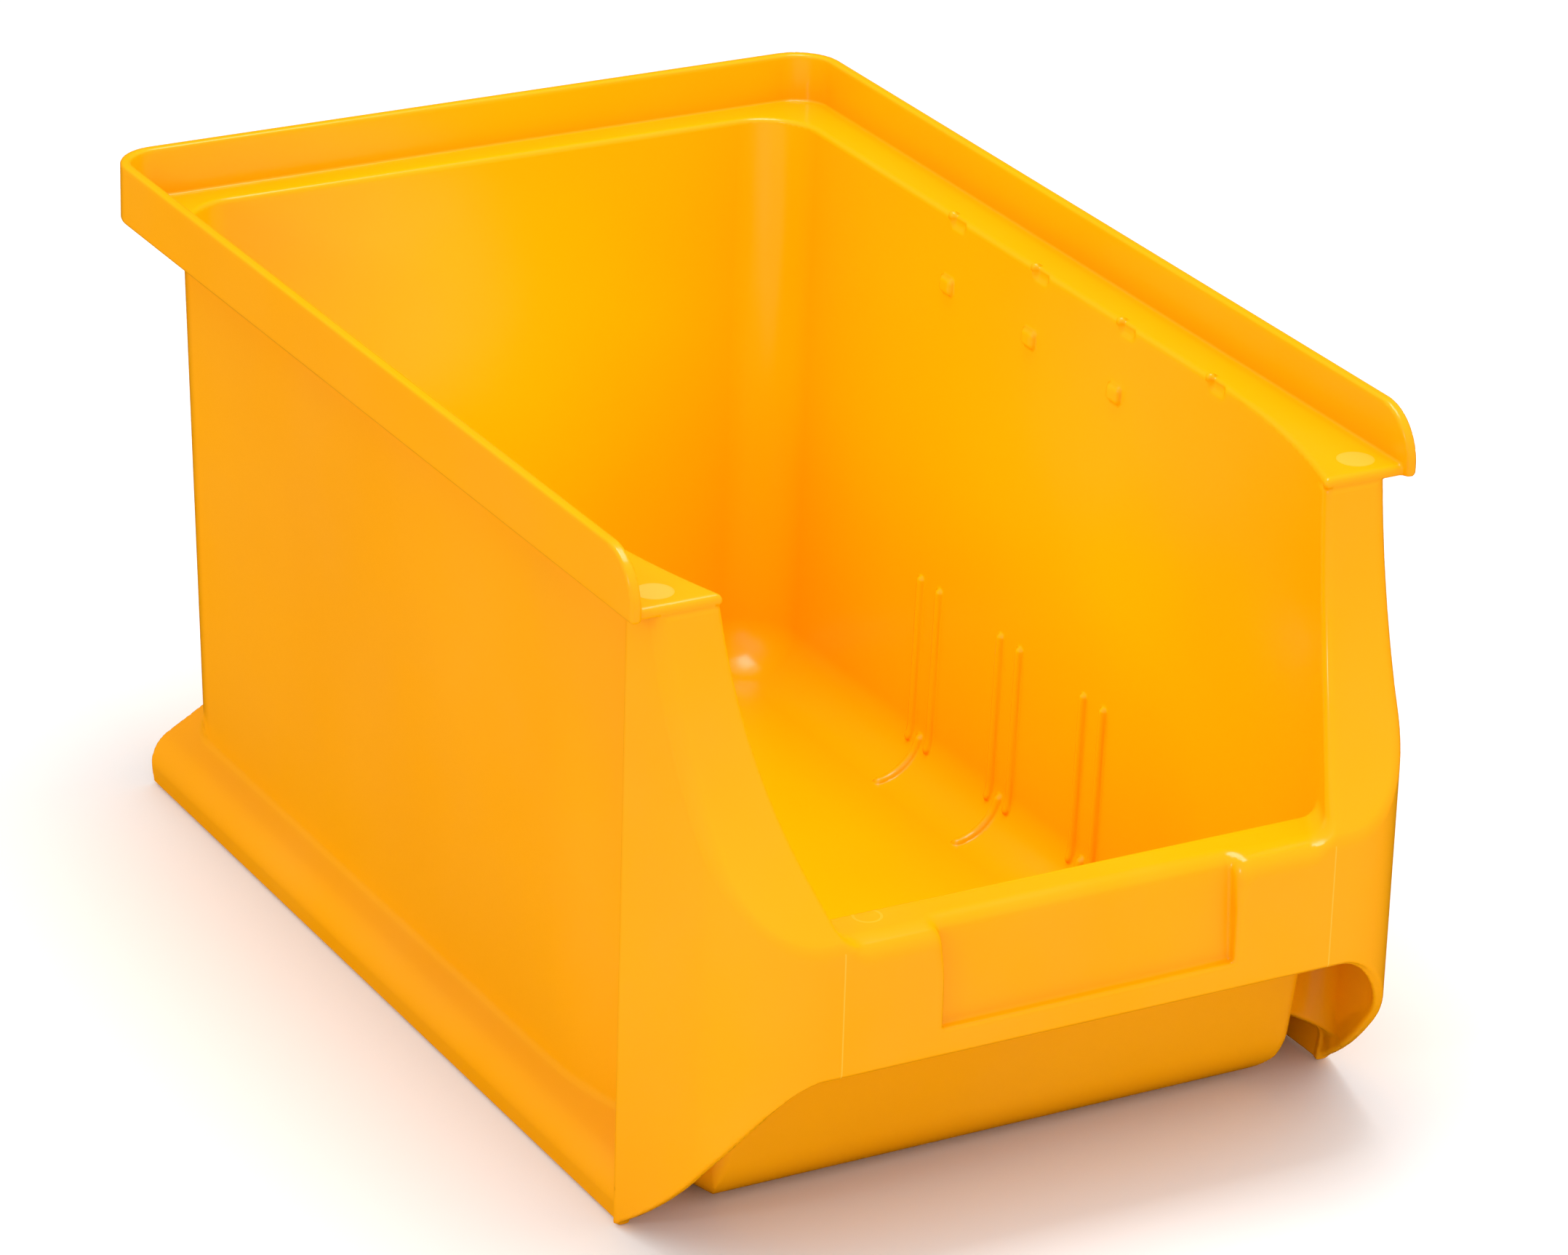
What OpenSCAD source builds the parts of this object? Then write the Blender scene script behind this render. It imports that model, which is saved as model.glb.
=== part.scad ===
// Open-fronted stacking and hanging parts bin, one injection moulding.
// Frame: X across the width, -Y towards the open front, +Z up, in millimetres.
// The origin is the middle of the footprint, on the surface that the bin stands on.
// The moulding is divided at its natural boundaries into closed bodies that meet face to face.

/* [Overall size] */
// Width across the rim
bin_w = 150; // [140:1:180]
// Length from the front panel to the back of the rim
bin_l = 235; // [220:1:300]
// Height to the top of the rim
bin_h = 125; // [120:1:150]

/* [Walls and floor] */
// Thickness of the walls and of the floor
wall_t = 2; // [1.6:0.1:2.4]
// Outward lean of the side and back walls, in degrees
side_draft = 1.4; // [0.5:0.1:2]
// Forward lean of the front wall, in degrees
front_draft = 15.5; // [14:0.5:18]
// Inside radius between the floor and the walls
floor_r = 10; // [8:0.5:12]
// Plan radius of the side walls where they close in towards the front
cheek_r = 150; // [140:5:170]
// Distance from the front panel to where the side walls start to close in
cheek_start = 71.5; // [68:0.5:76]
// Distance from the front panel to the front edge of the flat floor
floor_front = 36; // [34:0.5:38]

/* [Rim and stacking ledge] */
// Thickness of the upright rim
rim_t = 2; // [1.6:0.1:2.2]
// Height of the rim above the ledge
rim_rise = 9.5; // [8:0.5:11]
// Clear width of the ledge inside the rim, at the sides
side_ledge = 8.3; // [8:0.1:9]
// Clear width of the ledge inside the rim, at the back
back_ledge = 6; // [5.5:0.1:7]
// Thickness of the ledge
ledge_t = 2; // [1.6:0.1:2.4]
// Radius of the rim's rear corners
rim_corner_r = 9; // [8:0.5:11]
// Distance from the front panel to the front end of the rim
rim_front = 25.5; // [24:0.5:27]
// Radius of the rim's drop at its front end
rim_end_r = 9.5; // [8:0.5:9.5]

/* [Front] */
// Height of the front lip
lip_z = 61; // [58:0.5:64]
// Underside of the front panel
panel_z = 37.5; // [35:0.5:40]
// Radius of the concave front edge, in side view
scoop_r = 108; // [100:1:120]
// Radius of the corner skins' lower edge, in side view
sweep_r = 93.5; // [85:0.5:100]
// Plan radius of the front corners
corner_r = 13.5; // [12:0.5:15]
// Half width of the flat front panel, up to the mould joint
panel_half_w = 47.2; // [46:0.2:48]
// Rounding of the panel's top edge
panel_edge_r = 4; // [3:0.5:4]
// Half width of the label recess
label_half_w = 28.2; // [24:0.2:30]
// Lower edge of the label recess
label_z = 42.4; // [41:0.2:44]

/* [Foot rails] */
// Distance from the side of the rim in to the foot rail's outer face
rail_inset = 4; // [3.8:0.1:4.5]
// Height at which the rail's outer face is widest
rail_z = 5.5; // [4.5:0.5:6]
// Rounding of the rail's shoulder
rail_r = 4; // [3.5:0.5:4.5]
// Slope of the rail's shoulder below horizontal, in degrees
rail_slope = 30; // [25:1:35]
// Distance from the front panel to the rail's front end, where the corner skin starts
rail_front = 33; // [32:0.5:34]

/* [Divider guides] */
// Y of the rearmost divider station
station_y = 45.5; // [44:0.5:48]
// Distance between stations
station_pitch = 30; // [26:1:31]
// Number of stations
station_count = 3; // [1:1:3]
// Distance between the two ribs of a pair
rib_gap = 7; // [5:0.5:9]
// Width of a rib
rib_w = 1.6; // [1.2:0.1:2]
// Height of a rib off the wall
rib_h = 0.8; // [0.5:0.1:1]
// Top of the ribs
rib_top = 40; // [30:1:60]
// Size of the square pips under the ledge
pip_s = 2.4; // [1.8:0.1:3]
// Height of the pips
pip_z = 102; // [96:1:106]

/* [Rear hanging lip] */
// Half width of the hanging lip
hook_half_w = 57; // [40:1:58]
// Drop of the hanging lip below the ledge
hook_drop = 15; // [10:1:20]
// Thickness of the hanging lip
hook_t = 1.7; // [1.5:0.1:1.9]

/* [Hidden] */
$fn = 96;

yellow = [1.0, 0.71, 0.0];
yellow_side = [1.0, 0.68, 0.02];
yellow_floor = [1.0, 0.77, 0.0];

front_y = -bin_l / 2;
back_y = bin_l / 2;
half_w = bin_w / 2;
ledge_z = bin_h - rim_rise;
wall_top = ledge_z - ledge_t;
far = 400;

// Centre of the floor fillet, which the inner and outer surfaces share.
fillet_z = wall_t + floor_r;

// Distance of a wall's surface from the flat floor's edge: r is the fillet radius of that surface.
function wall_u(r, draft, z) = r / cos(draft) + (z - fillet_z) * tan(draft);

mouth_x = half_w - rim_t - side_ledge;
mouth_y = back_y - rim_t - back_ledge;
flat_x = mouth_x - wall_u(floor_r, side_draft, ledge_z);
flat_y = mouth_y - wall_u(floor_r, side_draft, ledge_z);
flat_front = front_y + floor_front;
cheek_y = front_y + cheek_start;
flat_cheek_r = cheek_r - (mouth_x - flat_x);
cheek_x = flat_x - flat_cheek_r;
rim_front_y = front_y + rim_front;

// The scoop is an arc that runs from the ledge's front edge down to the lip.
scoop_chord = norm([rim_front, ledge_z - lip_z]);
scoop_half = sqrt(scoop_r * scoop_r - scoop_chord * scoop_chord / 4);
scoop_y = front_y + rim_front / 2 - scoop_half * (ledge_z - lip_z) / scoop_chord;
scoop_z = (ledge_z + lip_z) / 2 + scoop_half * rim_front / scoop_chord;

// The corner skins' lower edge is a second arc, from the foot rail's front end up to the panel.
sweep_chord = norm([rail_front, panel_z]);
sweep_half = sqrt(sweep_r * sweep_r - sweep_chord * sweep_chord / 4);
sweep_y = front_y + rail_front / 2 + sweep_half * panel_z / sweep_chord;
sweep_z = panel_z / 2 + sweep_half * rail_front / sweep_chord;

// Plan of the outer skin: the rail's outer face, a slant that closes in, and a round corner.
rail_y = front_y + rail_front;
skin_x = half_w - rail_inset + 0.5;
corner_x = panel_half_w + 6;
corner_y = front_y + corner_r;
// Slant of the skin: its outer face touches the round corner and reaches skin_x at the rail.
slant_run = norm([skin_x - corner_x, rail_y - corner_y]);
slant = 90 - atan2(rail_y - corner_y, skin_x - corner_x) - (90 - acos(corner_r / slant_run));

// ---------------------------------------------------------------- wall sections

// Everything inside one wall surface, from the flat floor's edge outwards.
module wall_fill_2d(r, draft, top) {
    polygon([
        [0, fillet_z],
        [r * cos(draft), fillet_z - r * sin(draft)],
        [wall_u(r, draft, top), top],
        [0, top]
    ]);
    intersection() {
        translate([0, fillet_z]) circle(r = r);
        translate([0, fillet_z - r - 1]) square([r + 1, 2 * r + 1]);
    }
}

// A wall of even thickness with its floor fillet.
module wall_section_2d(draft, top) {
    difference() {
        wall_fill_2d(floor_r + wall_t, draft, top);
        translate([-1, 0]) square([1, top]);
        wall_fill_2d(floor_r, draft, top + 10);
    }
}

// Lays a section out along X, with its outward direction along +Y.
module along_x(x0, x1) {
    translate([x0, 0, 0]) rotate([90, 0, 90]) linear_extrude(x1 - x0) children();
}

// Lays a section out along Y, with its outward direction along +X.
module along_y(y0, y1) {
    translate([0, y1, 0]) rotate([90, 0, 0]) linear_extrude(y1 - y0) children();
}

// Turns a section about the cheek's upright axis, from the straight wall forwards.
module around_cheek() {
    sweep = 36;
    translate([cheek_x, cheek_y, 0]) rotate([0, 0, -sweep])
        rotate_extrude(angle = sweep, $fn = 180) translate([flat_cheek_r, 0]) children();
}

module left() { mirror([1, 0, 0]) children(); }

// ---------------------------------------------------------------- limits of the tub

// Space on the inner side of both cheeks, down past the floor inside the flat part.
module between_cheeks(r) {
    intersection() {
        cheek_fill(r);
        left() cheek_fill(r);
    }
}

module cheek_fill(r) {
    sweep = 60;
    translate([cheek_x, cheek_y, 0]) rotate([0, 0, -sweep])
        rotate_extrude(angle = sweep, $fn = 180) {
            translate([flat_cheek_r, 0]) wall_fill_2d(r, side_draft, bin_h);
            translate([0, -5]) square([flat_cheek_r, bin_h + 5]);
        }
}

// Space behind the front wall's outer surface, and all that lies above the lip's underside.
module behind_front() {
    along_x(-far / 2, far / 2) {
        translate([flat_front, 0]) mirror([1, 0])
            wall_fill_2d(floor_r + wall_t, front_draft, lip_z - wall_t);
        translate([flat_front, 0]) square([far, bin_h]);
        translate([front_y, lip_z - wall_t]) square([far, bin_h]);
    }
}

// Plan of the outer skin, moved in by d: the front, the round corner and the slant, up to the rail.
module skin_plan_2d(d) {
    r = corner_r - d;
    tip = [corner_x + r * cos(slant), corner_y - r * sin(slant)];
    run = (rail_y - tip[1]) * tan(slant);
    intersection() {
        union() {
            translate([-corner_x, corner_y]) circle(r = r);
            translate([corner_x, corner_y]) circle(r = r);
            polygon([
                [-corner_x, front_y + d],
                [corner_x, front_y + d],
                tip,
                [tip[0] + run, rail_y],
                [-tip[0] - run, rail_y],
                [-tip[0], tip[1]]
            ]);
        }
        translate([-half_w, front_y]) square([bin_w, rail_front]);
    }
}

module scoop_round(r) {
    translate([-far / 2, scoop_y, scoop_z]) rotate([0, 90, 0]) cylinder(r = r, h = far, $fn = 180);
}

// ---------------------------------------------------------------- tub

module floor_plate() {
    color(yellow_floor) linear_extrude(wall_t) {
        translate([-flat_x, cheek_y]) square([2 * flat_x, flat_y - cheek_y]);
        intersection() {
            translate([cheek_x, cheek_y]) circle(r = flat_cheek_r, $fn = 180);
            translate([-cheek_x, cheek_y]) circle(r = flat_cheek_r, $fn = 180);
            translate([-flat_x, flat_front]) square([2 * flat_x, cheek_y - flat_front]);
        }
    }
}

module side_wall() {
    color(yellow) along_y(cheek_y, flat_y)
        translate([flat_x, 0]) wall_section_2d(side_draft, wall_top);
}

module rear_corner() {
    color(yellow) translate([flat_x, flat_y, 0])
        rotate_extrude(angle = 90) wall_section_2d(side_draft, wall_top);
}

module back_wall() {
    color(yellow) along_x(-flat_x, flat_x)
        translate([flat_y, 0]) wall_section_2d(side_draft, wall_top);
}

// The side wall's front part, which closes in on the middle and is cut back by the scoop.
module cheek_wall() {
    color(yellow) difference() {
        intersection() {
            around_cheek() wall_section_2d(side_draft, wall_top);
            behind_front();
            linear_extrude(bin_h) {
                skin_plan_2d(wall_t);
                translate([0, rail_y]) square([half_w, cheek_y - rail_y]);
            }
        }
        scoop_round(scoop_r);
        along_x(0, panel_half_w) panel_fill_2d(panel_edge_r, 0);
    }
}

module front_wall() {
    color(yellow) intersection() {
        along_x(-half_w, half_w) translate([flat_front, 0]) mirror([1, 0])
            wall_section_2d(front_draft, lip_z - wall_t);
        between_cheeks(floor_r);
    }
}

// ---------------------------------------------------------------- front

lip_back = flat_front - wall_u(floor_r, front_draft, lip_z - wall_t);
panel_back = front_y + panel_edge_r;
seat_depth = wall_t;
seat_slope = 4.4;
seat_edge_r = 3;
seat_edge_z = lip_z - seat_edge_r;
seat_rise = (seat_edge_z - label_z) * tan(seat_slope);
seat_back = front_y + seat_depth + seat_rise + seat_edge_r / cos(seat_slope);

// Side view of all that lies behind the panel's surface, for the outer and the inner surface.
module panel_fill_2d(r, d) {
    translate([panel_back, lip_z - panel_edge_r]) intersection() {
        circle(r = r);
        translate([-r, -r]) square([r, 2 * r]);
    }
    translate([front_y + d, panel_z]) square([panel_edge_r - d, lip_z - panel_edge_r - panel_z]);
}

// Side view of all that lies behind the recess's surface, for the outer and the inner surface.
module seat_fill_2d(d) {
    r = seat_edge_r - d;
    y = seat_back - r / cos(seat_slope) - seat_rise;
    translate([seat_back, seat_edge_z]) intersection() {
        circle(r = r);
        translate([-r, -r]) square([r, 2 * r]);
    }
    polygon([
        [y, label_z - wall_t],
        [y, label_z],
        [seat_back - r * cos(seat_slope), seat_edge_z + r * sin(seat_slope)],
        [seat_back, seat_edge_z],
        [seat_back, label_z - wall_t]
    ]);
}

module front_lip() {
    edge_r = 1.5;
    color(yellow_floor) intersection() {
        difference() {
            along_x(-half_w, half_w) {
                translate([front_y, lip_z - wall_t]) square([lip_back - edge_r - front_y, wall_t]);
                translate([front_y, lip_z - wall_t]) square([lip_back - front_y, wall_t - edge_r]);
                translate([lip_back - edge_r, lip_z - edge_r]) circle(r = edge_r);
            }
            along_x(-half_w, half_w) translate([front_y - 1, 0]) square([panel_edge_r + 1, bin_h]);
            along_x(-label_half_w - wall_t, label_half_w + wall_t)
                translate([front_y, 0]) square([seat_back - front_y, bin_h]);
        }
        between_cheeks(floor_r);
    }
}

module front_panel() {
    color(yellow) difference() {
        union() {
            along_x(-panel_half_w, panel_half_w) difference() {
                panel_fill_2d(panel_edge_r, 0);
                translate([0, -1]) panel_fill_2d(panel_edge_r - wall_t, wall_t);
                panel_fill_2d(panel_edge_r - wall_t, wall_t);
            }
            for (side = [-1, 1]) {
                translate([side * (label_half_w + wall_t / 2), 0, 0])
                    along_x(-wall_t / 2, wall_t / 2) intersection() {
                        translate([front_y, label_z - wall_t]) square([bin_l, bin_h]);
                        union() {
                            panel_fill_2d(panel_edge_r, 0);
                            translate([panel_back, panel_z])
                                square([seat_back - panel_back, lip_z - panel_z]);
                        }
                    }
            }
        }
        translate([-label_half_w, front_y - 1, label_z])
            cube([2 * label_half_w, bin_l, bin_h]);
    }
}

module label_seat() {
    color(yellow) along_x(-label_half_w, label_half_w) difference() {
        seat_fill_2d(0);
        seat_fill_2d(wall_t);
    }
}

module corner_skin() {
    color(yellow_side) intersection() {
        difference() {
            linear_extrude(wall_top) intersection() {
                difference() {
                    skin_plan_2d(0);
                    skin_plan_2d(wall_t);
                }
                translate([panel_half_w, front_y]) square([half_w, bin_l]);
            }
            scoop_round(scoop_r);
        }
        translate([0, sweep_y, sweep_z]) rotate([0, 90, 0]) cylinder(r = sweep_r, h = half_w, $fn = 180);
    }
}

// The broad edge that joins the cheek to the skin along the scoop.
module scoop_edge() {
    color(yellow) difference() {
        intersection() {
            linear_extrude(wall_top) intersection() {
                skin_plan_2d(wall_t);
                translate([0, front_y]) square([half_w, rail_front - wall_t]);
            }
            scoop_round(scoop_r + wall_t);
        }
        scoop_round(scoop_r);
        cheek_fill(floor_r + wall_t);
        translate([-1, front_y - 1, -1]) cube([panel_half_w - 2, bin_l, bin_h]);
    }
}

// The upright step at the back of the hollow front corner.
module corner_web() {
    color(yellow_side) difference() {
        linear_extrude(wall_top) intersection() {
            skin_plan_2d(wall_t);
            translate([0, rail_y - wall_t]) square([half_w, wall_t]);
        }
        cheek_fill(floor_r + wall_t);
        along_y(front_y, back_y) rail_fill_2d(rail_r - wall_t);
    }
}

// ---------------------------------------------------------------- rim and ledge

module side_ledge_body() {
    color(yellow_floor) translate([0, 0, wall_top]) difference() {
        linear_extrude(ledge_t) difference() {
            translate([0, front_y]) square([half_w - rim_t, flat_y - front_y]);
            translate([0, cheek_y]) square([mouth_x, bin_l]);
            translate([cheek_x, cheek_y]) circle(r = cheek_r, $fn = 180);
        }
        translate([0, 0, -wall_top]) scoop_round(scoop_r);
    }
}

module back_stacking_ledge() {
    r = mouth_x - flat_x;
    color(yellow_floor) translate([0, 0, wall_top]) linear_extrude(ledge_t) difference() {
        intersection() {
            rim_plan_2d(rim_t);
            translate([-half_w, flat_y]) square([bin_w, bin_l]);
        }
        translate([-flat_x, 0]) square([2 * flat_x, mouth_y]);
        translate([-flat_x, flat_y]) circle(r = r);
        translate([flat_x, flat_y]) circle(r = r);
    }
}

// Plan of the rim's rear end, moved in by d.
module rim_plan_2d(d) {
    cx = half_w - rim_corner_r;
    cy = back_y - rim_corner_r;
    for (side = [-1, 1]) {
        translate([side * cx, cy]) circle(r = rim_corner_r - d);
    }
    translate([-cx, 0]) square([2 * cx, back_y - d]);
    translate([d - half_w, 0]) square([bin_w - 2 * d, cy]);
}

// Section of the upright rim: its inner face is at 0 and the lower outer edge is rounded.
module rim_section_2d() {
    edge_r = 0.8;
    translate([0, wall_top + edge_r]) square([rim_t, bin_h - wall_top - edge_r]);
    translate([0, wall_top]) square([rim_t - edge_r, edge_r]);
    translate([rim_t - edge_r, wall_top + edge_r]) circle(r = edge_r);
}

module side_rim() {
    lead = 1.5;
    start = rim_front_y - lead;
    bend = start + rim_end_r;
    color(yellow) intersection() {
        along_y(front_y, back_y - rim_corner_r)
            translate([half_w - rim_t, 0]) rim_section_2d();
        along_x(0, half_w) {
            translate([bend, 0]) square([bin_l, bin_h]);
            translate([bend, bin_h - rim_end_r]) circle(r = rim_end_r);
            translate([start, 0]) square([bin_l, bin_h - rim_end_r]);
        }
    }
}

module back_rim() {
    cx = half_w - rim_corner_r;
    cy = back_y - rim_corner_r;
    color(yellow) {
        along_x(-cx, cx) translate([back_y - rim_t, 0]) rim_section_2d();
        translate([cx, cy, 0]) rotate_extrude(angle = 90)
            translate([rim_corner_r - rim_t, 0]) rim_section_2d();
        translate([-cx, cy, 0]) rotate([0, 0, 90]) rotate_extrude(angle = 90)
            translate([rim_corner_r - rim_t, 0]) rim_section_2d();
    }
}

module hanging_lip() {
    color(yellow) translate([-hook_half_w, back_y - hook_t, wall_top - hook_drop])
        cube([2 * hook_half_w, hook_t, hook_drop]);
}

// ---------------------------------------------------------------- foot rails

// End view of all that lies under the rail's surface, for the outer and the inner surface.
module rail_fill_2d(r) {
    cx = half_w - rail_inset - rail_r;
    foot = cx + rail_r - 0.7 - 0.7 * (rail_r - r);
    lean = (cx + r - foot) / rail_z;
    top = [cx + r * sin(rail_slope), rail_z + r * cos(rail_slope)];
    inner = flat_x - 1;
    translate([cx, rail_z]) circle(r = r);
    polygon([
        [inner, -1],
        [foot - lean, -1],
        [cx + r, rail_z],
        top,
        [inner, top[1] + (top[0] - inner) * tan(rail_slope)]
    ]);
}

module rail_section_2d() {
    intersection() {
        difference() {
            rail_fill_2d(rail_r);
            rail_fill_2d(rail_r - wall_t);
        }
        translate([flat_x, 0]) square([half_w, bin_h]);
    }
}

// The rail follows the straight wall, the cheek in front of it and the rear corner behind it.
module foot_rail() {
    rail_end = flat_y + fillet_z;
    gap = 0.12;
    color(yellow_side) {
        along_y(cheek_y, flat_y) difference() {
            rail_section_2d();
            translate([flat_x, 0]) wall_fill_2d(floor_r + wall_t, side_draft, bin_h);
        }
        difference() {
            along_y(rail_y, cheek_y + gap) rail_section_2d();
            translate([cheek_x, cheek_y, -1])
                cylinder(r = flat_cheek_r + floor_r + wall_t + gap, h = bin_h, $fn = 180);
        }
        difference() {
            along_y(flat_y - gap, rail_end) rail_section_2d();
            translate([flat_x, flat_y, -1]) cylinder(r = floor_r + wall_t + gap, h = bin_h);
        }
    }
}

// ---------------------------------------------------------------- divider guides

// Skin of even height on the inside of a side wall.
module wall_strip_2d(h, z0, z1) {
    intersection() {
        difference() {
            wall_fill_2d(floor_r, side_draft, bin_h);
            wall_fill_2d(floor_r - h, side_draft, bin_h);
        }
        translate([0.5, z0]) square([half_w, z1 - z0]);
    }
}

module divider_ribs() {
    color(yellow) for (i = [0 : station_count - 1]) {
        y = station_y - i * station_pitch;
        for (side = [-1, 1]) {
            along_y(y + side * rib_gap / 2 - rib_w / 2, y + side * rib_gap / 2 + rib_w / 2)
                translate([flat_x, 0]) wall_strip_2d(rib_h, 8, rib_top);
        }
        along_y(y - rib_w / 2, y + rib_w / 2)
            translate([flat_x, 0]) wall_strip_2d(rib_h, wall_t, 10);
    }
}

module divider_pips() {
    color(yellow) for (i = [0 : station_count - 1]) {
        y = station_y - i * station_pitch;
        along_y(y - pip_s / 2, y + pip_s / 2)
            translate([flat_x, 0]) wall_strip_2d(rib_h, pip_z - pip_s / 2, pip_z + pip_s / 2);
    }
}

// ---------------------------------------------------------------- named pieces

module left_side_wall() { left() side_wall(); }

module right_side_wall() { side_wall(); }

module left_rear_corner() { left() rear_corner(); }

module right_rear_corner() { rear_corner(); }

module left_cheek_wall() { left() cheek_wall(); }

module right_cheek_wall() { cheek_wall(); }

module left_corner_skin() { left() corner_skin(); }

module right_corner_skin() { corner_skin(); }

module left_scoop_edge() { left() scoop_edge(); }

module right_scoop_edge() { scoop_edge(); }

module left_corner_web() { left() corner_web(); }

module right_corner_web() { corner_web(); }

module left_stacking_ledge() { left() side_ledge_body(); }

module right_stacking_ledge() { side_ledge_body(); }

module left_rim() { left() side_rim(); }

module right_rim() { side_rim(); }

module left_foot_rail() { left() foot_rail(); }

module right_foot_rail() { foot_rail(); }

module left_divider_ribs() { left() divider_ribs(); }

module right_divider_ribs() { divider_ribs(); }

module left_divider_pips() { left() divider_pips(); }

module right_divider_pips() { divider_pips(); }

floor_plate();
left_side_wall();
right_side_wall();
left_rear_corner();
right_rear_corner();
back_wall();
left_cheek_wall();
right_cheek_wall();
front_wall();
front_lip();
front_panel();
label_seat();
left_corner_skin();
right_corner_skin();
left_scoop_edge();
right_scoop_edge();
left_corner_web();
right_corner_web();
left_stacking_ledge();
right_stacking_ledge();
back_stacking_ledge();
left_rim();
right_rim();
back_rim();
hanging_lip();
left_foot_rail();
right_foot_rail();
left_divider_ribs();
right_divider_ribs();
left_divider_pips();
right_divider_pips();
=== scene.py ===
"""Looks of the hanging parts bin: one smooth injection moulding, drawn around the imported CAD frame.

The moulding's surface is worked out as a distance field in millimetres: every wall, edge and fillet
is a plane, cone or cylinder, and a rounded join or a rounded cut puts the mould's radii between them.
A surface net turns the field into one mesh. The mesh, its material and the studio are in metres.
"""

import math

import bpy
import numpy as np
from mathutils import Matrix, Vector


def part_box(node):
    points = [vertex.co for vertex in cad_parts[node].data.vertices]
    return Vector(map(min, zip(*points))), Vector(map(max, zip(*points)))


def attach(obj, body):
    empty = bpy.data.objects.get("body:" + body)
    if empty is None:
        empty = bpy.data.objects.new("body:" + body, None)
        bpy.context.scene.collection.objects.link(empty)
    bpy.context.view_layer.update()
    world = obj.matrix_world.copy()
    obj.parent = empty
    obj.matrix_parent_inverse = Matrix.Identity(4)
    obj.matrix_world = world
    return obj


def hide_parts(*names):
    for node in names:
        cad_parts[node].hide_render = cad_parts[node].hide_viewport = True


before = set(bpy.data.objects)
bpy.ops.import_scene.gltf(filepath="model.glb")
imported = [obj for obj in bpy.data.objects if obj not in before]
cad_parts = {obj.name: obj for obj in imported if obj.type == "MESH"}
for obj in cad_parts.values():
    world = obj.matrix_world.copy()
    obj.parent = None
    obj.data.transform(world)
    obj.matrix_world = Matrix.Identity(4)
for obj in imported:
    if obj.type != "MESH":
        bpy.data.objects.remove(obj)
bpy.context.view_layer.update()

MM = 1000.0


def node_box(name):
    """Lowest and highest corner of a CAD node, in millimetres."""
    low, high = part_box(name)
    return np.array(low) * MM, np.array(high) * MM


# ---------------------------------------------------------------- sizes read from the frame

RIM_LOW, RIM_HIGH = node_box("right_rim")
BACK_RIM_HIGH = node_box("back_rim")[1]
FLOOR_HIGH = node_box("floor_plate")[1]
LEDGE_LOW, LEDGE_HIGH = node_box("right_stacking_ledge")
LIP_HIGH = node_box("front_lip")[1]
PANEL_LOW, PANEL_HIGH = node_box("front_panel")
SEAT_LOW, SEAT_HIGH = node_box("label_seat")
SKIN_HIGH = node_box("right_corner_skin")[1]
CHEEK_HIGH = node_box("right_cheek_wall")[1]
RAIL_LOW, RAIL_HIGH = node_box("right_foot_rail")
HOOK_LOW, HOOK_HIGH = node_box("hanging_lip")
RIBS_HIGH = node_box("right_divider_ribs")[1]

WALL = FLOOR_HIGH[2]
HALF_W = RIM_HIGH[0]
BACK_Y = BACK_RIM_HIGH[1]
FRONT_Y = PANEL_LOW[1]
TOP_Z = RIM_HIGH[2]
LEDGE_Z = LEDGE_HIGH[2]
LEDGE_UNDER = LEDGE_LOW[2]
RIM_T = HALF_W - RIM_LOW[0]
RIM_START = RIM_LOW[1]
LIP_Z = LIP_HIGH[2]
LIP_BACK = LIP_HIGH[1]
PANEL_Z = PANEL_LOW[2]
PANEL_HALF = PANEL_HIGH[0]
LABEL_HALF = SEAT_HIGH[0]
LABEL_Z = SEAT_LOW[2] + WALL
FLAT_X = FLOOR_HIGH[0]
FLAT_Y = FLOOR_HIGH[1]
CHEEK_Y = CHEEK_HIGH[1]
RAIL_Y = RAIL_LOW[1]
RAIL_END = RAIL_HIGH[1]
RAIL_X = RAIL_HIGH[0]
SKIN_X = SKIN_HIGH[0]

# ---------------------------------------------------------------- radii and slopes of the mould

# Walls: the angle each leans outwards, and the curves of their plan.
SIDE_DRAFT = math.radians(1.4)
FRONT_DRAFT = math.radians(15.5)
FLOOR_R = 10.0
REAR_CORNER_R = 11.0
TUB_FRONT_R = 1.6
CHEEK_R = 150.0
FILLET_Z = WALL + FLOOR_R
WALL_RUN = FLOOR_R / math.cos(SIDE_DRAFT) + (LEDGE_Z - FILLET_Z) * math.tan(SIDE_DRAFT)
FLAT_CHEEK_R = CHEEK_R - WALL_RUN
CHEEK_X = FLAT_X - FLAT_CHEEK_R
FRONT_RUN = FLOOR_R / math.cos(FRONT_DRAFT) + (LIP_Z - WALL - FILLET_Z) * math.tan(FRONT_DRAFT)
FRONT_FLAT = LIP_BACK + FRONT_RUN

# Front: the scoop over the lip, the sweep under the corners, and the skin round both.
SCOOP_R = 108.0
SCOOP_TOP_Y = RIM_START + 1.5
SWEEP_R = 93.5
CORNER_R = 13.5
CORNER_X = PANEL_HALF + 6.0
WEB_FILLET = 5.0
LABEL_SLOPE = math.radians(4.4)
LIP_STEP_R = 1.6
LIP_STEP_FILLET = 3.0
TUB_CUT_AHEAD = 4.5
TUB_CUT_Z = 50.0

# Rim and foot rail.
RIM_CORNER_R = 9.0
RIM_END_R = 9.5
RAIL_SHOULDER_Z = 5.5
RAIL_R = 4.0
RAIL_T = 1.7
RAIL_SLOPE = math.radians(30)
RAIL_FACE_LEAN = 0.7 / RAIL_SHOULDER_Z

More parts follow.
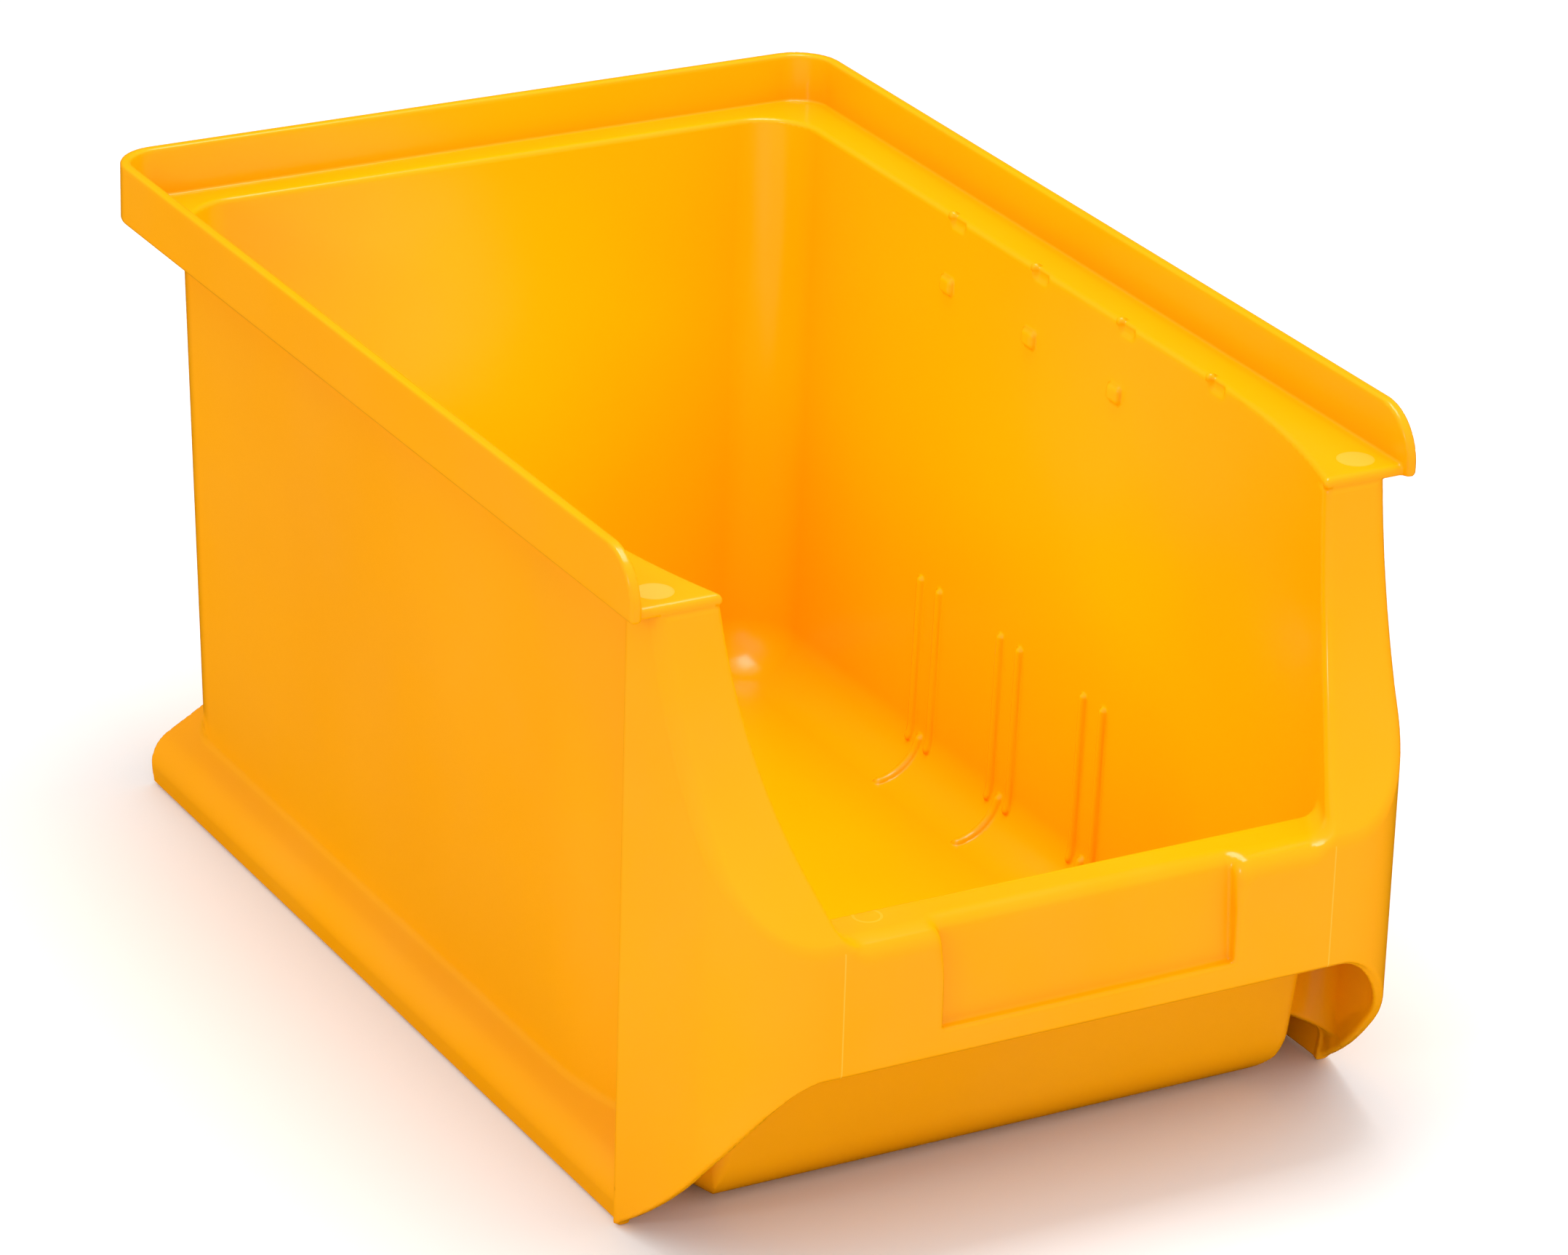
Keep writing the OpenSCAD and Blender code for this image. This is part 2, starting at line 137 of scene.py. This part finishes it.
# Radii of small edges and fillets, from crisp to soft.
FOOT_EDGE_R = 0.3
SKIN_EDGE_R = 0.4
RIM_EDGE_R = 0.6
MOUTH_EDGE_R = 0.8
LEDGE_EDGE_R = 0.9
LEDGE_FILLET = 0.8
RIM_TOP_R = 0.5
RIM_FILLET = 0.5
RAIL_END_R = 0.5
RAIL_FILLET = 1.0
HOOK_EDGE_R = 0.7
LIP_HOLLOW_R = 2.0
SEAT_CORNER_R = 0.5
SEAT_FILLET = 0.6
GUIDE_FILLET = 0.35
DOT_FILLET = 0.3

# Divider guides: ribs on the wall, a curved rib in the floor's fillet, and a pip.
STATION_PITCH = 30.0
RIB_HALF_GAP = 3.5
RIB_HALF_W = 0.8
STATIONS = [RIBS_HIGH[1] - RIB_HALF_GAP - RIB_HALF_W - STATION_PITCH * i for i in range(4)]
RIB_R = 1.0
RIB_TOP_Z = 41.0
RIB_FOOT_Z = 9.0
CURVED_RIB_TOP_Z = 9.5
PIP_Z = 101.8
PIP_R = 1.1
PIP_HALF_W = 1.1
PIP_HALF_H = 0.7
PIP_BEHIND = 0.7
GUIDES_FROM_X = 45.0

# Marks on the ledge's inner edge.
NOTCH_R = 1.8
NOTCH_HALF_W = 1.2
NOTCH_AHEAD = 1.5
NOTCH_OFF_WALL = 1.1
NOTCH_DEPTH = 1.0
NOTCH_EDGE_R = 0.4
DOT_R = 0.9
DOT_BEHIND = 1.2
DOT_IN_WALL = 0.5
DOT_DEPTH = 0.2

# Ejector marks of the mould.
EJECTOR_PLACE = (HALF_W - 7.8, RAIL_Y - 1.8, LEDGE_Z)
LIP_EJECTOR_PLACE = (-38.0, FRONT_Y + 9.5, LIP_Z - WALL)
EJECTOR_R = 3.1

# A distance that stands for no surface near by.
FAR = 1e3

# ---------------------------------------------------------------- colours

YELLOW = (1.0, 0.385, 0.0)
# Paler yellow painted on the mould's marks as a highlight.
MARK_HIGHLIGHT_YELLOW = (1.0, 0.55, 0.06)
ROUGHNESS = 0.2
SURROUND_STRENGTH = 1.1


def circle_through(y0, z0, y1, z1, r, side):
    """Centre of the circle of radius r through two points of the side view, on one side of their line."""
    dy, dz = y1 - y0, z1 - z0
    chord = math.hypot(dy, dz)
    reach = side * math.sqrt(r * r - chord * chord / 4)
    return (y0 + y1) / 2 + reach * dz / chord, (z0 + z1) / 2 - reach * dy / chord


SCOOP_C = circle_through(FRONT_Y, LIP_Z, SCOOP_TOP_Y, LEDGE_Z, SCOOP_R, -1)
SWEEP_C = circle_through(FRONT_Y, PANEL_Z, RAIL_Y, 0.0, SWEEP_R, -1)


# ---------------------------------------------------------------- joining fields

def cap(a, b, r):
    """What lies inside both, with the edge between them rounded to r."""
    return np.minimum(-r, np.maximum(a, b)) + np.hypot(np.maximum(a + r, 0), np.maximum(b + r, 0))


def join(a, b, r):
    """What lies inside either, with a fillet of radius r in the corner between them."""
    return np.maximum(r, np.minimum(a, b)) - np.hypot(np.maximum(r - a, 0), np.maximum(r - b, 0))


def blend(t, low, high):
    """0 below low, 1 above high, smooth between."""
    s = np.clip((t - low) / (high - low), 0, 1)
    return s * s * (3 - 2 * s)


def leaning(dist, z, draft):
    """Distance from a wall's surface: dist is measured level from the flat floor's edge."""
    return (dist - FLOOR_R / math.cos(draft) - (z - FILLET_Z) * math.tan(draft)) * math.cos(draft)


# ---------------------------------------------------------------- the moulding

def wall_planes(x, y, z):
    """Distances outwards from the inner surfaces of the side walls, the back wall and the front wall."""
    ax = np.abs(x)
    round_dist = np.hypot(ax - CHEEK_X, y - CHEEK_Y) - FLAT_CHEEK_R
    side = leaning(np.where(y > CHEEK_Y, ax - FLAT_X, round_dist), z, SIDE_DRAFT)
    back = leaning(y - FLAT_Y, z, SIDE_DRAFT)
    front = leaning(FRONT_FLAT - y, z, FRONT_DRAFT)
    return side, back, front


def skin_plan(x, y, d):
    """Plan of the front's outer skin, moved in by d: the front face and the slants, with round corners."""
    ax = np.abs(x)
    run = math.hypot(SKIN_X - CORNER_X, RAIL_Y - FRONT_Y - CORNER_R)
    lean = math.atan2(RAIL_Y - FRONT_Y - CORNER_R, SKIN_X - CORNER_X) - math.acos(CORNER_R / run)
    slant = (ax - SKIN_X) * math.cos(lean) + (y - RAIL_Y) * math.sin(lean)
    return cap(FRONT_Y + d - y, slant + d, CORNER_R - d)


def tub_shell(side, back, front, z):
    """The tub's outer surface."""
    shell = cap(cap(side, back, REAR_CORNER_R) - WALL, front - WALL, TUB_FRONT_R)
    return cap(shell, -z, FLOOR_R + WALL)


def front_block(x, y, z, side, shell, outside, scoop):
    """The hollow front: skin, web, strip, lip and panel around a space that is open below."""
    ax = np.abs(x)
    skin = skin_plan(x, y, 0.0)
    # The skin's lower edge is square to the skin, so the sweep is measured on its outer face.
    facing = np.clip((FRONT_Y + CORNER_R - y) / CORNER_R, 0.3, 1) ** 3
    outer_y = y - facing * np.clip(-skin, 0, WALL)
    sweep = np.hypot(outer_y - SWEEP_C[0], z - SWEEP_C[1]) - SWEEP_R
    block = cap(skin, y - RAIL_Y, SKIN_EDGE_R)
    block = cap(block, sweep, SKIN_EDGE_R)
    block = cap(block, -z, FOOT_EDGE_R)
    block = np.maximum(block, z - LEDGE_Z + 0.7)

    # The strip's outer edge gets softer upwards, and the lip's back edge is softest at the middle.
    block = cap(block, scoop, 1.0 + 1.2 * blend(z, LIP_Z + 3.0, LIP_Z + 19.0))
    block = cap(block, outside, 3.9 - 1.9 * blend(ax, PANEL_HALF - 4.2, PANEL_HALF + 2.8))

    # The space inside, clear of the tub, the label seat and the foot rail's shoulder.
    seat_depth = WALL + (z - LABEL_Z) * math.tan(LABEL_SLOPE)
    seat = (FRONT_Y + seat_depth - y) * math.cos(LABEL_SLOPE)
    seat_block = np.maximum(np.maximum(ax - LABEL_HALF - WALL, LABEL_Z - WALL - z), -seat - WALL)
    under_lip = cap(skin_plan(x, y, WALL), z - LIP_Z + WALL, LIP_HOLLOW_R)
    in_corner = np.maximum(skin_plan(x, y, WALL), WALL - side)
    space = np.minimum(np.maximum(under_lip, -shell), in_corner)
    space = cap(space, np.maximum(scoop + WALL, y - RAIL_Y + WALL), WEB_FILLET)
    space = np.maximum(space, -seat_block)
    block = cap(block, -space, MOUTH_EDGE_R)

    # The label recess, cut back to its seat. Its edges get softer towards the lip.
    kept = join(join(LABEL_HALF - ax, z - LABEL_Z, SEAT_CORNER_R), seat, SEAT_FILLET)
    return cap(block, kept, 0.8 + 2.0 * blend(z, LIP_Z - 10.0, LIP_Z - 1.0))


def foot_rail(x, y, z, shell):
    """The foot rail and, as a second field, the channel under it."""
    ax = np.abs(x)
    face = (ax - RAIL_X - (z - RAIL_SHOULDER_Z) * RAIL_FACE_LEAN) / math.hypot(1, RAIL_FACE_LEAN)
    reach = (ax - RAIL_X + RAIL_R) * math.sin(RAIL_SLOPE)
    shoulder = reach + (z - RAIL_SHOULDER_Z) * math.cos(RAIL_SLOPE) - RAIL_R
    rail = cap(face, shoulder, RAIL_R)
    under = cap(face + RAIL_T, shoulder + WALL, RAIL_R - WALL)
    rail = cap(np.maximum(rail, -z), -under, FOOT_EDGE_R)
    rail = cap(rail, y - RAIL_END, RAIL_END_R)
    rail = np.maximum(rail, RAIL_Y - 0.5 - y)
    rail = np.maximum(rail, -shell)
    channel = np.maximum(np.maximum(under, -shell), skin_plan(x, y, WALL))
    channel = np.maximum(channel, RAIL_Y - WALL - WEB_FILLET - 1 - y)
    return rail, channel


def rim_field(x, y, z):
    """The upright rim and, as a second field, its plan."""
    plan = cap(np.abs(x) - HALF_W, y - BACK_Y, RIM_CORNER_R)
    end = cap(z - TOP_Z, RIM_START - y, RIM_END_R)
    rim = cap(cap(plan, -(plan + RIM_T), RIM_TOP_R), end, RIM_EDGE_R)
    return cap(rim, LEDGE_UNDER - z, LEDGE_EDGE_R), plan


def guides_field(x, y, z, outside):
    """Divider guides: paired ribs, a curved rib in the floor's fillet and a pip under the ledge."""
    ax = np.abs(x)
    off_wall = outside * outside
    guides = np.full(np.shape(z), FAR, z.dtype)
    for station in STATIONS[:-1]:
        dy = y - station
        for s in (-1, 1):
            dz = np.maximum(np.maximum(z - RIB_TOP_Z, RIB_FOOT_Z - z), 0)
            rib = np.sqrt(off_wall + (dy - s * RIB_HALF_GAP) ** 2 + dz * dz) - RIB_R
            guides = np.minimum(guides, rib)
        dz = np.maximum(z - CURVED_RIB_TOP_Z, 0)
        dx = np.maximum(FLAT_X + RIB_HALF_W - ax, 0)
        guides = np.minimum(guides, np.sqrt(off_wall + dy * dy + dz * dz + dx * dx) - RIB_R)
        wide = np.maximum(np.abs(dy - PIP_BEHIND) - PIP_HALF_W, 0)
        high = np.maximum(np.abs(z - PIP_Z) - PIP_HALF_H, 0)
        guides = np.minimum(guides, np.sqrt(off_wall + wide * wide + high * high) - PIP_R)
    return np.where(ax > GUIDES_FROM_X, guides, FAR)


def ledge_marks(y, z, whole, outside):
    """Notches in the ledge's inner edge, one above each divider station, with a dot behind each."""
    for station in STATIONS:
        dy = y - station
        wide = np.maximum(np.abs(dy + NOTCH_AHEAD) - NOTCH_HALF_W, 0)
        deep = z - LEDGE_Z + NOTCH_DEPTH
        notch = np.sqrt(wide * wide + (outside - NOTCH_OFF_WALL) ** 2 + deep * deep) - NOTCH_R
        whole = cap(whole, -notch, NOTCH_EDGE_R)
        deep = z - LEDGE_Z + DOT_DEPTH
        dot = np.sqrt((dy - DOT_BEHIND) ** 2 + deep * deep + (outside + DOT_IN_WALL) ** 2) - DOT_R
        whole = join(whole, dot, DOT_FILLET)
    return whole


def moulding(x, y, z):
    """Distance field of the whole bin: negative in the plastic."""
    side, back, front = wall_planes(x, y, z)
    scoop = SCOOP_R - np.hypot(y - SCOOP_C[0], z - SCOOP_C[1])

    # All but the space that the bin encloses, with the lip's step at the front.
    step = cap(-front, z - LIP_Z, LIP_STEP_R)
    outside = join(-cap(side, back, REAR_CORNER_R), step, LIP_STEP_FILLET)
    outside = join(outside, z - WALL, FLOOR_R)

    # Tub and ledge. In front of the web the tub's upper part belongs to the front block.
    shell = tub_shell(side, back, front, z)
    rim, rim_plan = rim_field(x, y, z)
    tub = np.maximum(shell, z - LEDGE_UNDER - 1)
    tub = np.maximum(tub, np.minimum(RAIL_Y - TUB_CUT_AHEAD - y, z - TUB_CUT_Z))
    ledge = np.maximum(rim_plan + 1.0, np.maximum(z - LEDGE_Z, LEDGE_UNDER - z))
    whole = cap(join(tub, ledge, LEDGE_FILLET), scoop, LEDGE_EDGE_R)
    whole = cap(whole, outside, LEDGE_EDGE_R)

    rail, channel = foot_rail(x, y, z, shell)
    block = front_block(x, y, z, side, shell, outside, scoop)
    whole = np.minimum(whole, cap(block, -channel, MOUTH_EDGE_R))
    whole = join(whole, rim, RIM_FILLET)

    # The rear hanging lip, below the rim.
    hook = np.maximum(np.abs(x) - HOOK_HIGH[0], np.maximum(HOOK_LOW[1] - y, y - HOOK_HIGH[1]))
    hook = np.maximum(cap(hook, HOOK_LOW[2] - z, HOOK_EDGE_R), z - LEDGE_Z + 1)
    whole = np.minimum(whole, hook)

    whole = join(whole, rail, RAIL_FILLET)
    whole = join(whole, guides_field(x, y, z, outside), GUIDE_FILLET)
    return ledge_marks(y, z, whole, outside)


# ---------------------------------------------------------------- from field to mesh

def surface_net(step):
    """Vertices and quads of the zero surface's right half, and which vertices belong at x = 0."""
    pad = 2 * step
    nodes_x = np.arange(-step / 2, HALF_W + pad, step)
    nodes_y = np.arange(FRONT_Y - pad, BACK_Y + pad, step)
    nodes_z = np.arange(-pad, TOP_Z + pad, step)
    field = np.empty((len(nodes_x), len(nodes_y), len(nodes_z)), np.float32)
    slab = 40
    for j in range(0, len(nodes_y), slab):
        grid = np.meshgrid(nodes_x, nodes_y[j:j + slab], nodes_z, indexing="ij")
        field[:, j:j + slab] = moulding(*[g.astype(np.float32) for g in grid])
    inside = field < 0
    count = np.zeros([n - 1 for n in field.shape], np.uint8)
    corners = [(a, b, c) for a in (0, 1) for b in (0, 1) for c in (0, 1)]
    ends = {0: slice(None, -1), 1: slice(1, None)}
    for a, b, c in corners:
        count += inside[ends[a], ends[b], ends[c]]
    cells = np.argwhere((count > 0) & (count < 8))
    number = np.full(count.shape, -1, np.int32)
    number[tuple(cells.T)] = np.arange(len(cells))

    value = [field[cells[:, 0] + a, cells[:, 1] + b, cells[:, 2] + c] for a, b, c in corners]
    total = np.zeros((len(cells), 3))
    hits = np.zeros(len(cells))
    for m, p in enumerate(corners):
        for n, q in enumerate(corners):
            if n <= m or sum(abs(u - v) for u, v in zip(p, q)) != 1:
                continue
            crossed = (value[m] < 0) != (value[n] < 0)
            t = value[m][crossed] / (value[m][crossed] - value[n][crossed])
            total[crossed] += np.array(p) + t[:, None] * (np.array(q) - np.array(p))
            hits[crossed] += 1
    start = np.array([nodes_x[0], nodes_y[0], nodes_z[0]])
    points = start + step * (cells + total / hits[:, None])

    quads = []
    for axis in range(3):
        first = [slice(None)] * 3
        second = [slice(None)] * 3
        first[axis] = slice(None, -1)
        second[axis] = slice(1, None)
        low = inside[tuple(first)]
        edges = np.argwhere(low != inside[tuple(second)])
        others = [k for k in range(3) if k != axis]
        keep = np.all([(edges[:, k] > 0) & (edges[:, k] < field.shape[k] - 1) for k in others], axis=0)
        edges = edges[keep]
        ring = []
        for u, v in ((-1, -1), (0, -1), (0, 0), (-1, 0)):
            cell = edges.copy()
            cell[:, others[0]] += u
            cell[:, others[1]] += v
            ring.append(number[tuple(cell.T)])
        ring = np.stack(ring, 1)
        outwards = low[tuple(edges.T)] != (axis == 1)
        ring[~outwards] = ring[~outwards][:, ::-1]
        quads.append(ring)
    return points, np.concatenate(quads), cells[:, 0] == 0


def gradient(points, eps=0.04):
    """Unit gradient of the field, which is the surface's normal."""
    out = np.empty_like(points)
    for k in range(3):
        ahead, behind = points.copy(), points.copy()
        ahead[:, k] += eps
        behind[:, k] -= eps
        out[:, k] = moulding(*ahead.T) - moulding(*behind.T)
    return out / np.maximum(np.linalg.norm(out, axis=1, keepdims=True), 1e-9)


def settle(points, rounds, reach):
    """Moves points along the gradient onto the surface, by no more than reach."""
    for _ in range(rounds):
        value = moulding(*points.T)
        points = points - np.clip(value, -reach, reach)[:, None] * gradient(points)
    return points


def make_mesh(name, step, share):
    """The moulding as one smooth closed mesh, both halves, thinned to a share of its faces."""
    points, quads, middle = surface_net(step)
    points = settle(points, 2, 0.5 * step)
    points[middle, 0] = 0.0
    other = np.where(middle, np.arange(len(points)), np.arange(len(points)) + len(points))
    mirrored = other[quads][:, ::-1]
    own = middle[quads].all(1)
    every = np.concatenate([quads, mirrored[~own]])
    both = np.concatenate([points, points * (-1, 1, 1)])
    used = np.unique(every)
    renumber = np.full(len(both), -1, np.int64)
    renumber[used] = np.arange(len(used))
    every = renumber[every]
    both = both[used]
    mesh = bpy.data.meshes.new(name)
    mesh.vertices.add(len(both))
    mesh.vertices.foreach_set("co", (both / MM).astype(np.float32).ravel())
    mesh.loops.add(every.size)
    mesh.loops.foreach_set("vertex_index", every.astype(np.int32).ravel())
    mesh.polygons.add(len(every))
    mesh.polygons.foreach_set("loop_start", np.arange(0, every.size, 4, dtype=np.int32))
    mesh.polygons.foreach_set("loop_total", np.full(len(every), 4, np.int32))
    mesh.update(calc_edges=True)
    ob = bpy.data.objects.new(name, mesh)
    bpy.context.scene.collection.objects.link(ob)
    if share < 1:
        thin = ob.modifiers.new("thin", "DECIMATE")
        thin.ratio = share
        depsgraph = bpy.context.evaluated_depsgraph_get()
        final = bpy.data.meshes.new_from_object(ob.evaluated_get(depsgraph))
        ob.modifiers.clear()
        ob.data = final
        bpy.data.meshes.remove(mesh)
        final.name = name
        mesh = final
    co = np.empty(len(mesh.vertices) * 3, np.float32)
    mesh.vertices.foreach_get("co", co)
    points = settle(co.reshape(-1, 3).astype(float) * MM, 1, 0.1)
    mesh.vertices.foreach_set("co", (points / MM).astype(np.float32).ravel())
    mesh.polygons.foreach_set("use_smooth", np.ones(len(mesh.polygons), bool))
    mesh.update()
    mesh.normals_split_custom_set_from_vertices(gradient(points))
    return ob


# ---------------------------------------------------------------- material

def plastic(name, base, rough):
    """Glossy plastic: faint shifts of colour and gloss, a fine grain, and the marks of the mould, whose
    paler yellow is a painted highlight.
    """
    mat = bpy.data.materials.new(name)
    mat.use_nodes = True
    nt = mat.node_tree
    bsdf = nt.nodes["Principled BSDF"]
    coord = nt.nodes.new("ShaderNodeTexCoord")

    def noise(scale, detail, roughness=0.5):
        node = nt.nodes.new("ShaderNodeTexNoise")
        node.inputs["Scale"].default_value = scale
        node.inputs["Detail"].default_value = detail
        node.inputs["Roughness"].default_value = roughness
        nt.links.new(coord.outputs["Object"], node.inputs["Vector"])
        return node.outputs["Fac"]

    def spread(socket, low, high, to_low, to_high):
        node = nt.nodes.new("ShaderNodeMapRange")
        node.inputs["From Min"].default_value = low
        node.inputs["From Max"].default_value = high
        node.inputs["To Min"].default_value = to_low
        node.inputs["To Max"].default_value = to_high
        nt.links.new(socket, node.inputs["Value"])
        return node.outputs["Result"]

    # Ejector marks on the ledges and the lip, and a parting line beside each front corner: real in bump
    # and gloss, painted paler as a highlight.
    split = nt.nodes.new("ShaderNodeSeparateXYZ")
    nt.links.new(coord.outputs["Object"], split.inputs["Vector"])

    def math_node(operation, *values):
        node = nt.nodes.new("ShaderNodeMath")
        node.operation = operation
        for socket, value in zip(node.inputs, values):
            if isinstance(value, float):
                socket.default_value = value
            else:
                nt.links.new(value, socket)
        return node.outputs["Value"]

    across = math_node("ABSOLUTE", split.outputs["X"])
    both = nt.nodes.new("ShaderNodeCombineXYZ")
    for socket, value in zip(both.inputs, (across, split.outputs["Y"], split.outputs["Z"])):
        nt.links.new(value, socket)

    def from_point(vector, place):
        node = nt.nodes.new("ShaderNodeVectorMath")
        node.operation = "DISTANCE"
        nt.links.new(vector, node.inputs[0])
        node.inputs[1].default_value = [c / MM for c in place]
        return node.outputs["Value"]

    disc_gap = from_point(both.outputs["Vector"], EJECTOR_PLACE)
    disc = spread(disc_gap, EJECTOR_R / MM, (EJECTOR_R + 0.25) / MM, 1.0, 0.0)
    lip_gap = from_point(coord.outputs["Object"], LIP_EJECTOR_PLACE)
    lip_ring = math_node("COMPARE", lip_gap, EJECTOR_R / MM, 0.18 / MM)
    line = math_node("COMPARE", across, PANEL_HALF / MM, 0.11 / MM)
    on_face = math_node("LESS_THAN", split.outputs["Y"], (FRONT_Y + 1.6) / MM)
    below_lip = math_node("LESS_THAN", split.outputs["Z"], (LIP_Z - 0.8) / MM)
    line = math_node("MULTIPLY", line, math_node("MULTIPLY", on_face, below_lip))
    fine = math_node("MAXIMUM", math_node("MULTIPLY", line, 0.6), math_node("MULTIPLY", lip_ring, 0.3))

    # Colour, with a painted highlight on the mould's marks, gloss and grain.
    ramp = nt.nodes.new("ShaderNodeMix")
    ramp.data_type = "RGBA"
    ramp.inputs["A"].default_value = (*[c * 0.97 for c in base], 1)
    ramp.inputs["B"].default_value = (*[min(1, c * 1.03) for c in base], 1)
    nt.links.new(spread(noise(14, 2), 0.35, 0.65, 0, 1), ramp.inputs["Factor"])
    # The mould's marks are mixed towards the paler yellow: a painted highlight.
    mark_highlight_mix = nt.nodes.new("ShaderNodeMix")
    mark_highlight_mix.data_type = "RGBA"
    mark_highlight_mix.inputs["B"].default_value = (*MARK_HIGHLIGHT_YELLOW, 1)
    nt.links.new(math_node("MAXIMUM", math_node("MULTIPLY", disc, 0.3), fine), mark_highlight_mix.inputs["Factor"])
    nt.links.new(ramp.outputs["Result"], mark_highlight_mix.inputs["A"])
    nt.links.new(mark_highlight_mix.outputs["Result"], bsdf.inputs["Base Color"])
    gloss = spread(noise(35, 3), 0.3, 0.7, rough - 0.03, rough + 0.04)
    nt.links.new(math_node("ADD", gloss, math_node("MULTIPLY", disc, 0.3)), bsdf.inputs["Roughness"])
    bump = nt.nodes.new("ShaderNodeBump")
    bump.inputs["Strength"].default_value = 0.12
    bump.inputs["Distance"].default_value = 0.00008
    height = math_node("ADD", noise(900, 3, 0.6), math_node("MULTIPLY", fine, -1.5))
    nt.links.new(height, bump.inputs["Height"])
    nt.links.new(bump.outputs["Normal"], bsdf.inputs["Normal"])
    bsdf.inputs["IOR"].default_value = 1.49
    bsdf.inputs["Specular IOR Level"].default_value = 0.45
    return mat


NET_STEP, KEPT_SHARE = ((0.6, 0.13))
bin_body = make_mesh("bin_moulding", NET_STEP, KEPT_SHARE)
yellow = plastic("yellow_polypropylene", YELLOW, ROUGHNESS)
bin_body.data.materials.append(yellow)
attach(bin_body, "root")
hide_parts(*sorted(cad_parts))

# ---------------------------------------------------------------- floor, light and camera

FLOOR_REACH = 3.0
FLOOR_Z = -0.0003

floor_mesh = bpy.data.meshes.new("floor")
floor_corners = [(u * FLOOR_REACH, v * FLOOR_REACH, 0) for u, v in ((-1, -1), (1, -1), (1, 1), (-1, 1))]
floor_mesh.from_pydata(floor_corners, [], [(0, 1, 2, 3)])
floor = bpy.data.objects.new("floor", floor_mesh)
bpy.context.scene.collection.objects.link(floor)
floor.location.z = FLOOR_Z
floor.visible_glossy = False
pale = bpy.data.materials.new("pale_floor")
pale.use_nodes = True
pale_shader = pale.node_tree.nodes["Principled BSDF"]
pale_shader.inputs["Base Color"].default_value = (0.9, 0.9, 0.9, 1)
pale_shader.inputs["Roughness"].default_value = 0.8
floor_mesh.materials.append(pale)

# An even white surround, left out of reflections so that the yellow stays deep.
world = bpy.data.worlds.new("studio")
bpy.context.scene.world = world
world.use_nodes = True
world.cycles.sampling_method = "NONE"
surround = world.node_tree.nodes["Background"]
surround.inputs["Color"].default_value = (1, 1, 1, 1)
ray = world.node_tree.nodes.new("ShaderNodeLightPath")
dim = world.node_tree.nodes.new("ShaderNodeMapRange")
dim.inputs["To Min"].default_value = SURROUND_STRENGTH
dim.inputs["To Max"].default_value = 0.0
world.node_tree.links.new(ray.outputs["Is Glossy Ray"], dim.inputs["Value"])
world.node_tree.links.new(dim.outputs["Result"], surround.inputs["Strength"])


def soft_light(name, place, target, size, power):
    """A square lamp of the given size, aimed at target."""
    light = bpy.data.lights.new(name, "AREA")
    light.shape = "SQUARE"
    light.size = size
    light.energy = power
    ob = bpy.data.objects.new(name, light)
    ob.location = place
    ob.rotation_euler = (Vector(target) - Vector(place)).to_track_quat("-Z", "Y").to_euler()
    bpy.context.scene.collection.objects.link(ob)


soft_light("top_light", (0.03, 0.0, 0.62), (0.0, 0, 0.06), 0.3, 1.8)
soft_light("side_light", (-1.2, -0.6, 0.7), (0, 0, 0.06), 0.14, 1.45)

# Two dim lamps inside stand for the light that comes through the real bin's walls.
for number, (place_y, power) in enumerate(((-0.02, 0.065), (0.055, 0.06))):
    fill = bpy.data.lights.new(f"inside_fill_{number}", "POINT")
    fill.energy = power
    fill.shadow_soft_size = 0.03
    glow = bpy.data.objects.new(fill.name, fill)
    glow.location = (0, place_y, 0.075)
    glow.visible_camera = False
    glow.visible_glossy = False
    bpy.context.scene.collection.objects.link(glow)

# The camera stands where a long lens sees the bin from its front left, a little above.
AZIMUTH = math.radians(-29.389)
ELEVATION = math.radians(23.649)
ROLL = math.radians(1.799)
FOCUS_MM = 151.2
CAMERA_PLACE = Vector((-0.52536, -0.94262, 0.53506))
level_reach = math.cos(ELEVATION)
back = Vector((math.sin(AZIMUTH) * level_reach, -math.cos(AZIMUTH) * level_reach, math.sin(ELEVATION)))
right = (-back).cross(Vector((0, 0, 1))).normalized()
up = right.cross(-back)
tilted_right = right * math.cos(ROLL) + up * math.sin(ROLL)
tilted_up = up * math.cos(ROLL) - right * math.sin(ROLL)
lens = bpy.data.cameras.new("camera")
lens.sensor_width = 36
lens.lens = FOCUS_MM
camera = bpy.data.objects.new("camera", lens)
facing = Matrix((tilted_right, tilted_up, back)).transposed().to_4x4()
camera.matrix_world = Matrix.Translation(CAMERA_PLACE) @ facing
bpy.context.scene.collection.objects.link(camera)
bpy.context.scene.camera = camera
bpy.context.scene.view_settings.view_transform = "Standard"
